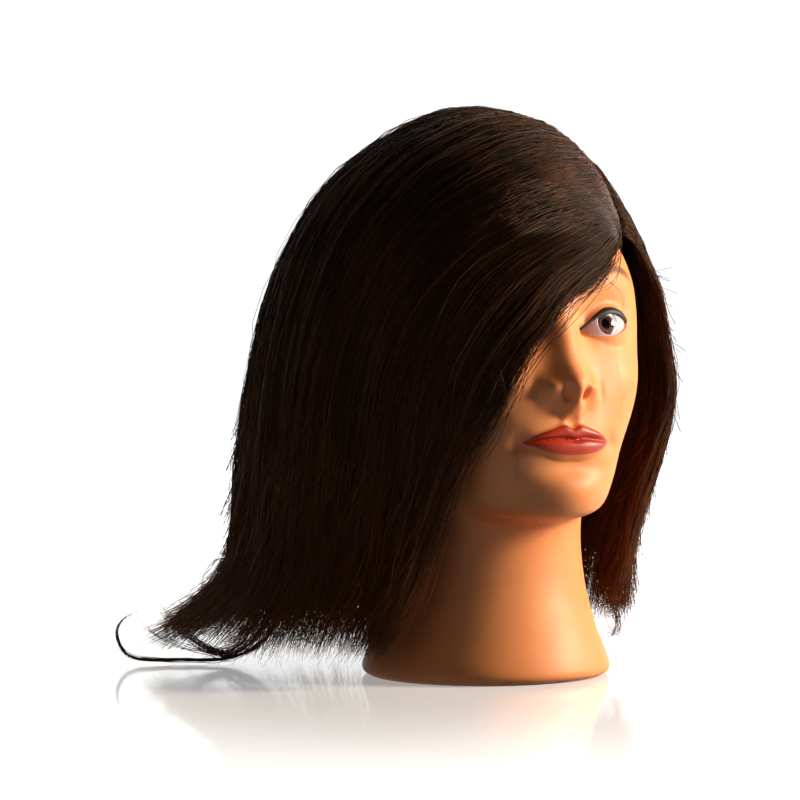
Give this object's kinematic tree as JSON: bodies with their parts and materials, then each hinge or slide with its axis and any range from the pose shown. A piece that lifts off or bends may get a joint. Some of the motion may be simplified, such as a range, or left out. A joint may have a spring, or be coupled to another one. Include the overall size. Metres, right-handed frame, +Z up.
{
  "type": "mannequin training head",
  "caption": "Hairdressing practice head: foam-filled vinyl head and neck with rooted long dark hair and a blind clamp socket in its flared foot.",
  "frame": {"origin": "mouth of the clamp bore, at the centre of the foot on the table", "axes": "+Z up along the neck, the face looks to -Y, the head's own left is +X"},
  "size_m": [0.2473, 0.251, 0.2901],
  "materials": {
    "vinyl_skin": "satin",
    "root_coat": "satin",
    "foam": "matte",
    "foot_disc": "matte",
    "socket_plastic": "gloss",
    "screw_steel": "satin",
    "eye_white": "gloss",
    "iris_print": "gloss",
    "clear_lens": "gloss",
    "hair": "satin"
  },
  "bodies": {
    "root": {"head_shell": "vinyl_skin", "root_lock_coat": "root_coat", "foam_core": "foam", "base_disc": "foot_disc", "clamp_socket": "socket_plastic", "socket_screws": "screw_steel", "eye_white_left": "eye_white", "eye_white_right": "eye_white", "iris_disc_left": "iris_print", "iris_disc_right": "iris_print", "cornea_lens_left": "clear_lens", "cornea_lens_right": "clear_lens", "hair_fringe": "hair", "hair_front_right": "hair", "hair_temple_right": "hair", "hair_side_right": "hair", "hair_back_right": "hair", "hair_nape_right": "hair", "hair_nape_left": "hair", "hair_back_left": "hair", "hair_side_left": "hair", "hair_front_left": "hair"}
  },
  "joints": []
}
